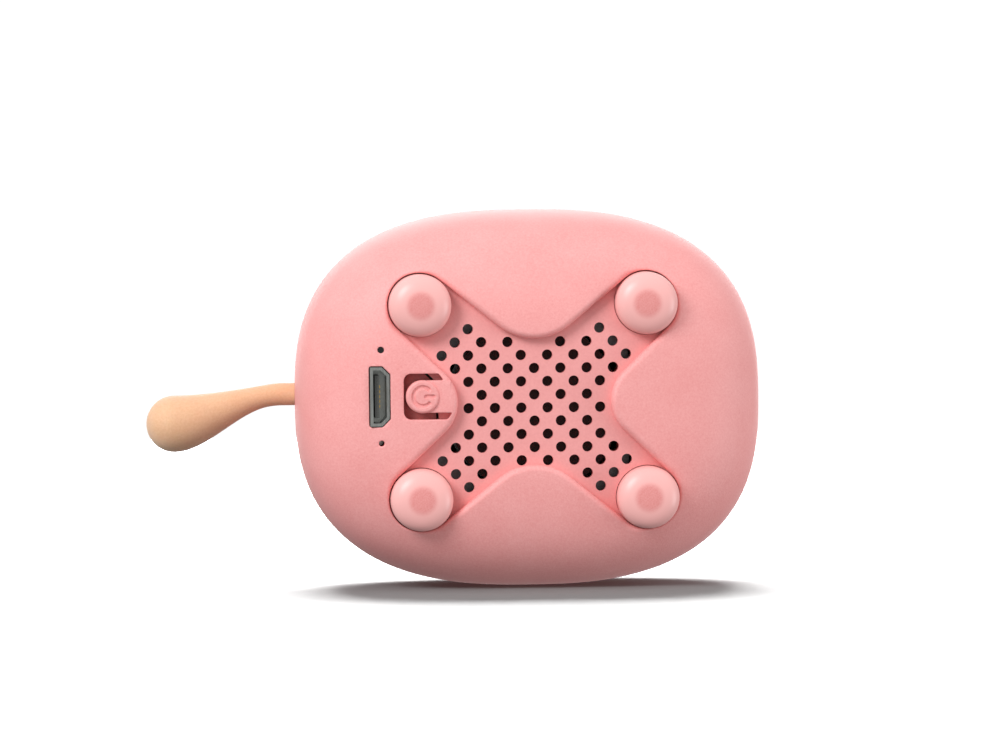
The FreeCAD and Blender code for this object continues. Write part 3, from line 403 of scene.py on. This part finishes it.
def recess_quarter():
    """A quarter of the recess outline, from the long axis to the short one: each spot has the way
    out of the recess there and the radius of the fold, which is smaller round the foot's pocket."""
    bulge_x, radius_x = Vector((15.6, 0)) * MM, 5.4 * MM
    bulge_y, radius_y = Vector((0, 15.9)) * MM, 7.5 * MM
    pocket_gap = 0.15 * MM
    pocket = foot_radius + pocket_gap
    wide, tight = 0.85 * MM, 0.38 * MM
    ends = []
    for centre, radius, side in ((bulge_x, radius_x, 1), (bulge_y, radius_y, -1)):
        gap = foot_spot - centre
        turn = math.acos((radius + pocket) / gap.length)
        ends.append(math.atan2(gap.y, gap.x) + side * turn)
    spots = []

    def sweep(centre, radius, start, end, count, hollow, fold):
        for i in range(count):
            t = i / count
            a = start + (end - start) * t
            way = Vector((math.cos(a), math.sin(a)))
            spots.append((centre + way * radius, way if hollow else -way, fold(t)))

    def run(leave, entry, way, count=18):
        spots.extend((leave.lerp(entry, i / count), way, wide) for i in range(count))

    sweep(bulge_x, radius_x, math.pi, ends[0], 26, False, lambda t: wide)
    first = ends[0] + math.pi - 2 * math.pi
    last = ends[1] + math.pi
    entry = foot_spot + Vector((math.cos(first), math.sin(first))) * pocket
    leave = bulge_x + Vector((math.cos(ends[0]), math.sin(ends[0]))) * radius_x
    way = -(leave - bulge_x).normalized()
    run(leave, entry, way)
    sweep(foot_spot, pocket, first, last, 60, True,
          lambda t: wide + (tight - wide) * smooth(min(t, 1 - t) / 0.3))
    leave = foot_spot + Vector((math.cos(last), math.sin(last))) * pocket
    entry = bulge_y + Vector((math.cos(ends[1]), math.sin(ends[1]))) * radius_y
    way = (leave - foot_spot).normalized()
    run(leave, entry, way)
    sweep(bulge_y, radius_y, ends[1], -math.pi / 2, 30, False, lambda t: wide)
    spots.append((Vector((0, bulge_y.y - radius_y)), Vector((0, 1)), wide))
    return spots


def recess_outline():
    """The whole outline, counter-clockwise, mirrored from its quarter."""
    quarter = recess_quarter()
    whole = []
    for sx, sy in ((1, 1), (-1, 1), (-1, -1), (1, -1)):
        side = [(Vector((p.x * sx, p.y * sy)), Vector((n.x * sx, n.y * sy)), f) for p, n, f in quarter]
        side = side if sx * sy > 0 else side[::-1]
        whole += side[:-1]
    return whole


def build_belly():
    """The lower shell: from the seam over the belly, round the fold and down the recess wall."""
    outline = recess_outline()
    columns = []
    steps = 44
    for spot, way, fold in outline:
        column = []
        edge = spot + way * fold
        angle = math.atan2(edge.y, edge.x)
        rim_reach = (abs(math.cos(angle) / half_x) ** plan_power
                     + abs(math.sin(angle) / half_y) ** plan_power) ** (-1 / plan_power)
        share = edge.length / rim_reach
        lean = math.acos(min(1.0, share ** (belly_power / 2)))
        first = (lean / (0.5 * math.pi)) ** (1 / 1.75)
        for i in range(steps):
            phase = 0.5 * math.pi * (first * i / steps) ** 1.75
            r = rim_reach * math.cos(phase) ** (2 / belly_power)
            column.append(place(r * math.cos(angle), r * math.sin(angle),
                                body_centre.z - belly_depth * math.sin(phase) ** (2 / belly_power)))
        for i in range(9):
            t = 0.5 * math.pi * i / 8
            p = spot + way * (fold * (1 - math.sin(t)))
            column.append(place(p.x, p.y, belly_height(p.x, p.y) + fold * (1 - math.cos(t))))
        floor_z = belly_height(spot.x, spot.y, wall) + 0.04 * MM
        column.append(place(spot.x, spot.y, (column[-1].z + floor_z) / 2))
        column.append(place(spot.x, spot.y, floor_z))
        inner_reach = (abs(math.cos(angle) / (half_x - wall)) ** plan_power
                       + abs(math.sin(angle) / (half_y - wall)) ** plan_power) ** (-1 / plan_power)
        inner_rim = Vector((math.cos(angle), math.sin(angle))) * inner_reach
        for i in range(1, 21):
            p = spot.lerp(inner_rim, math.sin(0.5 * math.pi * i / 20))
            column.append(place(p.x, p.y, belly_height(p.x, p.y, wall)))
        columns.append(column)
    mesh = bmesh.new()
    rings = [[column[k] for column in columns] for k in range(len(columns[0]))]
    skin_rings(mesh, rings, closed=True)
    return put("belly_shell", mesh, frosted_shell, "housing", "frosted_shell", "bottom_shell")


def rounded(corners, radii, step=12):
    """A closed outline through straight runs whose corners are rounded."""
    spots = []
    count = len(corners)
    for i, (corner, radius) in enumerate(zip(corners, radii)):
        corner = Vector(corner)
        if radius == 0:
            spots.append(corner)
            continue
        before = (Vector(corners[i - 1]) - corner).normalized()
        after = (Vector(corners[(i + 1) % count]) - corner).normalized()
        half = before.angle(after) / 2
        reach = radius / math.tan(half)
        middle = corner + (before + after).normalized() * (radius / math.sin(half))
        start = corner + before * reach - middle
        turn = start.angle_signed(corner + after * reach - middle)
        for k in range(step + 1):
            a = -turn * k / step
            spots.append(middle + Vector((start.x * math.cos(a) - start.y * math.sin(a),
                                          start.x * math.sin(a) + start.y * math.cos(a))))
    return [p * MM for p in spots]


def grown(spots, distance):
    """The outline moved outwards; the spots run counter-clockwise."""
    moved = []
    for i, p in enumerate(spots):
        run = spots[(i + 1) % len(spots)] - spots[i - 1]
        moved.append(p + Vector((run.y, -run.x)).normalized() * distance)
    return moved


def cut_through(shell, name, outline, edge, deep=4.0 * MM):
    """Cuts an outline through the belly with a softened rim, then removes the cutter."""
    area = sum(a.x * b.y - b.x * a.y for a, b in zip(outline, outline[1:] + outline[:1]))
    outline = outline if area > 0 else outline[::-1]
    rings = []
    levels = [(edge * 3.2, -edge * 1.2)] + [(edge * (1 - math.sin(t)), edge * (1 - math.cos(t)))
                                            for t in (0.45, 0.85, 1.2, math.pi / 2)]
    for out, depth in levels:
        ring_spots = grown(outline, out) if out > 0 else outline
        rings.append([place(p.x, p.y, belly_height(p.x, p.y) + depth) for p in ring_spots])
    under, over = min(p.z for p in rings[0]) - 1.0 * MM, max(p.z for p in rings[-1]) + deep
    rings = [[Vector((p.x, p.y, under)) for p in rings[0]], *rings,
             [Vector((p.x, p.y, over)) for p in rings[-1]]]
    mesh = bmesh.new()
    skin_rings(mesh, rings)
    bmesh.ops.recalc_face_normals(mesh, faces=mesh.faces)
    data = bpy.data.meshes.new(name)
    mesh.to_mesh(data)
    mesh.free()
    cutter = bpy.data.objects.new(name, data)
    bpy.context.scene.collection.objects.link(cutter)
    change = shell.modifiers.new(name, "BOOLEAN")
    change.object = cutter
    change.solver = "EXACT"
    bpy.context.view_layer.update()
    result = bpy.data.meshes.new_from_object(shell.evaluated_get(bpy.context.evaluated_depsgraph_get()))
    shell.modifiers.clear()
    shell.data = result
    bpy.data.objects.remove(cutter)


button_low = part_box("power_button")[0]
port_low, port_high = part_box("port_shell")
panel_y = (port_low.y + port_high.y) / 2 - body_centre.y
cap = Vector((-14.9 * MM, panel_y))
cap_radius = 2.2 * MM
tongue_half = 2.15 * MM
cap_edge = 0.4 * MM
tongue_root = -11.7 * MM


def slot_outline():
    """The U-shaped slot round the tongue; its two ends lean with the recess wall. The shell keeps
    its own skin inside the U."""
    y = panel_y / MM
    outer, inner = 3.05, 2.15
    left = -17.35
    tip = []
    for i in range(37):
        a = math.pi / 2 + math.pi * i / 36
        tip.append((cap.x / MM + inner * math.cos(a), y + inner * math.sin(a)))
    corners = [(-12.05, y - inner), (-12.75, y - outer), (left, y - outer), (left, y + outer),
               (-11.55, y + outer), (-10.95, y + inner)]
    radii = [0.12, 0.3, 0.95, 0.95, 0.3, 0.12]
    return rounded(corners + tip, radii + [0] * len(tip), step=6)


def build_openings(shell):
    """Cuts the socket's mouth, the button's slot and the two small holes through the belly."""
    gap, slant = 0.12, 1.06
    x0, x1 = (port_low.x - body_centre.x) / MM - gap, (port_high.x - body_centre.x) / MM + gap
    y0, y1 = (port_low.y - body_centre.y) / MM - gap, (port_high.y - body_centre.y) / MM + gap
    mouth = rounded([(x0, y0), (x1 - slant, y0), (x1, y0 + slant),
                     (x1, y1 - slant), (x1 - slant, y1), (x0, y1)],
                    [0.35, 0.3, 0.3, 0.3, 0.3, 0.35])
    cut_through(shell, "socket_cut", mouth, 0.12 * MM)
    cut_through(shell, "slot_cut", slot_outline(), 0.1 * MM)
    for node, radius in (("light_pipe", 0.42), ("microphone_boot", 0.38)):
        low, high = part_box(node)
        middle = (low + high) / 2 - body_centre
        hole = [Vector((middle.x + radius * MM * math.cos(a), middle.y + radius * MM * math.sin(a)))
                for a in (2 * math.pi * i / 32 for i in range(32))]
        cut_through(shell, node + "_cut", hole, 0.14 * MM)
    for face in shell.data.polygons:
        face.use_smooth = True
    shell.data.set_sharp_from_angle(angle=0.62)
    paint(shell, frosted_shell)


build_openings(build_belly())


# ---------------------------------------------------------------- feet
def build_foot(node):
    """A domed foot with a soft shoulder, and a shallow flat where it stands."""
    low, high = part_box(node)
    radius = (high.x - low.x) / 2
    middle = Vector(((low.x + high.x) / 2, (low.y + high.y) / 2, low.z))
    height = high.z - low.z
    dome = 2.3 * MM
    fullness = 2.5
    flange = 1.0 * MM
    spigot_radius = 2.1 * MM
    profile = []
    for i in range(1, 37):
        a = 0.5 * math.pi * i / 36
        reach = math.sin(a) ** (2 / fullness)
        profile.append((radius * reach, dome * (1 - math.cos(a) ** (2 / fullness))))
    profile += [(radius, height - flange), (radius - 0.3 * MM, height - 0.9 * MM),
                (spigot_radius, height - 0.9 * MM), (spigot_radius, height)]
    mesh = bmesh.new()
    rows = []
    for r, z in profile:
        rows.append(ring(Vector((0, 0, z)), r, Vector((1, 0, 0)), Vector((0, 1, 0)), 96))
    skin_rings(mesh, rows)
    foot = put(node + "_dome", mesh, standing_foot, None, "foot_elastomer", node)
    foot.location = middle
    foot.data.set_sharp_from_angle(angle=0.9)
    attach(foot, "housing")


for node in ("foot_port_left", "foot_port_right", "foot_nose_left", "foot_nose_right"):
    build_foot(node)


# ---------------------------------------------------------------- power button
def symbol_depth(x, y):
    """How deep the engraved power sign is at a spot of the cap: a ring open on one side, and a bar."""
    radius, line, depth = 1.25 * MM, 0.42 * MM, 0.26 * MM
    angle = math.atan2(y, x)
    opening = math.radians(47)
    if abs(angle) > opening:
        away = abs(math.hypot(x, y) - radius)
    else:
        end = Vector((math.cos(opening), math.copysign(math.sin(opening), y))) * radius
        away = (Vector((x, y)) - end).length
    along = min(max(x, 0.45 * MM), 1.45 * MM)
    away = min(away, math.hypot(x - along, y))
    return depth * (1 - smooth((away - line * 0.28) / (line * 0.5)))


def build_button():
    """The tongue runs from its root, where it meets the shell, and dips towards its end; the cap stands on
    its end.
    """
    mesh = bmesh.new()
    face_z = button_low.z
    rows = []
    for k in range(1, 61):
        r = (cap_radius - cap_edge) * k / 60
        spots = [(cap.x + r * math.cos(a), cap.y + r * math.sin(a))
                 for a in (2 * math.pi * i / 180 for i in range(180))]
        rows.append([place(x, y, face_z + 0.01 * MM + symbol_depth(x - cap.x, y - cap.y))
                     for x, y in spots])
    for k in range(1, 11):
        t = 0.5 * math.pi * k / 10
        r = cap_radius - cap_edge * (1 - math.sin(t))
        z = face_z + cap_edge * (1 - math.cos(t))
        rows.append([place(cap.x + r * math.cos(a), cap.y + r * math.sin(a), z)
                     for a in (2 * math.pi * i / 180 for i in range(180))])
    top = rows[-1][0].z
    for z in (top + 0.3 * MM, top + 0.9 * MM):
        rows.append([Vector((p.x, p.y, z)) for p in rows[-1]])
    skin_rings(mesh, rows)
    put("button_cap", mesh, frosted_shell, "power_button", "frosted_shell", "power_button")

    mesh = bmesh.new()
    sides = 14
    columns = []
    stations = 48
    left = cap.x - tongue_half
    right = tongue_root + 0.5 * MM
    for i in range(stations + 1):
        x = left + (right - left) * i / stations
        away = max(0.0, cap.x - x)
        half = math.sqrt(max(1e-12, tongue_half ** 2 - away ** 2)) if away > 0 else tongue_half
        half = max(half, 0.25 * MM)
        sink = 0.55 * MM * (1 - smooth((x - cap.x - 1.3 * MM) / (tongue_root - cap.x - 1.3 * MM)))
        sink += 0.012 * MM
        soft = 0.12 * MM
        column = []
        for k in range(sides + 1):
            y = cap.y - half + 2 * half * k / sides
            edge = min(y - (cap.y - half), cap.y + half - y)
            drop = soft * (1 - smooth(edge / soft * 0.5 + 0.5)) if edge < soft else 0.0
            column.append(place(x, y, belly_height(x, y) + sink + drop))
        for k in range(sides, -1, -1):
            y = cap.y - half + 2 * half * k / sides
            column.append(place(x, y, belly_height(x, y) + 1.3 * MM))
        columns.append(column)
    skin_rings(mesh, columns)
    tongue = put("button_tongue", mesh, frosted_shell, None, "frosted_shell")
    tongue.data.set_sharp_from_angle(angle=0.7)
    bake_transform(tongue)

    nib_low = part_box("switch_plunger")[0].z - 0.12 * MM
    mesh = bmesh.new()
    rows = [ring(place(cap.x, cap.y, z), r, Vector((1, 0, 0)), Vector((0, 1, 0)), 40)
            for r, z in ((0.8 * MM, face_z + 1.6 * MM), (0.8 * MM, nib_low - 0.15 * MM),
                         (0.74 * MM, nib_low - 0.04 * MM), (0.6 * MM, nib_low))]
    skin_rings(mesh, rows)
    put("button_nib", mesh, frosted_shell, "power_button", "frosted_shell")


build_button()

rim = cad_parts["port_shell"].modifiers.new("softened_rim", "BEVEL")
rim.width = 0.13 * MM
rim.segments = 3
rim.limit_method = "ANGLE"
rim.angle_limit = math.radians(50)


# ---------------------------------------------------------------- floor, backdrop and light
def paper(name, pale, deep):
    """Matt paper that shows from its front only."""
    material, tree = blank(name)
    spot = add(tree, "TexCoord", {}).outputs["Object"]
    grain = add(tree, "TexNoise", {"Vector": spot, "Scale": 1 / (1.5 * MM)}).outputs["Fac"]
    tone = add(tree, "Mix", {"data_type": "RGBA", "Factor": grain, 6: colour(deep),
                             7: colour(pale)}).outputs[2]
    diffuse = add(tree, "BsdfDiffuse", {"Color": tone}).outputs[0]
    clear = add(tree, "BsdfTransparent", {}).outputs[0]
    behind = add(tree, "NewGeometry", {}).outputs["Backfacing"]
    mixed = add(tree, "MixShader", {0: behind, 1: diffuse, 2: clear}).outputs[0]
    add(tree, "OutputMaterial", {"Surface": mixed})
    return material


def build_stage():
    """A pale floor under the feet, and a card along the side that the speaker is propped on, with a
    lamp of its own. Neither blocks light, so the underside stays lit."""
    papers = {"floor": paper("floor_paper", "#FFFFFF", "#FBFBFB"),
              "card": paper("card_paper", "#8C8C8C", "#868686")}
    lit = bpy.data.collections.new("card_light")
    for name, centre, facing in (("floor", Vector((body_centre.x, body_centre.y, 0)), Vector((0, 0, 1))),
                                 ("card", Vector((body_centre.x, shell_high.y + 0.05 * MM, 0)),
                                  Vector((0, -1, 0)))):
        mesh = bmesh.new()
        bmesh.ops.create_grid(mesh, x_segments=8, y_segments=8, size=0.5 if name == "card" else 1.2)
        mesh.transform(Matrix.Translation(centre) @ facing.to_track_quat("Z", "X").to_matrix().to_4x4())
        data = bpy.data.meshes.new(name)
        mesh.to_mesh(data)
        mesh.free()
        plane = bpy.data.objects.new(name, data)
        bpy.context.scene.collection.objects.link(plane)
        plane.data.materials.append(papers[name])
        if name == "card":
            lit.objects.link(plane)
        plane.visible_shadow = False
        plane.visible_diffuse = False
        plane.visible_glossy = False
        plane.visible_transmission = False
    return lit


def build_light(card):
    world = bpy.data.worlds.new("studio")
    bpy.context.scene.world = world
    world.use_nodes = True
    tree = world.node_tree
    tree.nodes.clear()
    toward = add(tree, "TexCoord", {}).outputs["Generated"]
    sides = add(tree, "SeparateXYZ", {"Vector": toward}).outputs["Y"]
    share = add(tree, "MapRange", {"Value": sides, "From Min": -0.5, "From Max": 0.9,
                                   "To Min": 0.78, "To Max": 0.12}).outputs["Result"]
    seen = add(tree, "LightPath", {}).outputs["Is Camera Ray"]
    strength = add(tree, "Mix", {"data_type": "FLOAT", 0: seen, 2: share, 3: 1.05}).outputs[0]
    sky = add(tree, "Background", {"Color": (1, 1, 1, 1), "Strength": strength}).outputs[0]
    add(tree, "OutputWorld", {"Surface": sky})
    lamps = (("key", (-0.7, -0.62, -0.75), 0.5, 9.5), ("side", (0.8, 0.1, -0.25), 0.35, 2.2),
             ("top", (0.1, -0.2, 0.9), 0.8, 5.0), ("card", (0.0, -0.6, 0.5), 0.45, 60.0))
    for name, offset, size, power in lamps:
        data = bpy.data.lights.new(name, "AREA")
        data.shape = "SQUARE"
        data.size = size
        data.energy = power
        lamp = bpy.data.objects.new(name, data)
        lamp.location = body_centre + Vector(offset)
        lamp.rotation_mode = "QUATERNION"
        lamp.rotation_quaternion = Vector(offset).to_track_quat("Z", "Y")
        bpy.context.scene.collection.objects.link(lamp)
        if name == "card":
            lamp.light_linking.receiver_collection = card


def build_camera():
    """A long lens from underneath, a little to the tail's side."""
    distance = 1.5
    tilt_x, tilt_y, roll = math.radians(3.55), math.radians(2.2), math.radians(0.6)
    data = bpy.data.cameras.new("camera")
    data.sensor_width = 36.0
    data.lens = 403.0
    data.clip_start, data.clip_end = 0.05, 10.0
    camera = bpy.data.objects.new("camera", data)
    bpy.context.scene.collection.objects.link(camera)
    spot = body_centre + Vector((-math.tan(tilt_x) * distance, -math.tan(tilt_y) * distance, -distance))
    aim = body_centre + Vector((-3.42, -2.89, 0)) * MM
    forward = (aim - spot).normalized()
    right = forward.cross(Vector((0, -1, 0))).normalized()
    up = right.cross(forward)
    right, up = right * math.cos(roll) - up * math.sin(roll), up * math.cos(roll) + right * math.sin(roll)
    turn = Matrix((right, up, -forward)).transposed().to_4x4()
    camera.matrix_world = Matrix.Translation(spot) @ turn
    bpy.context.scene.camera = camera


build_light(build_stage())
build_camera()
bpy.context.scene.view_settings.view_transform = "Standard"
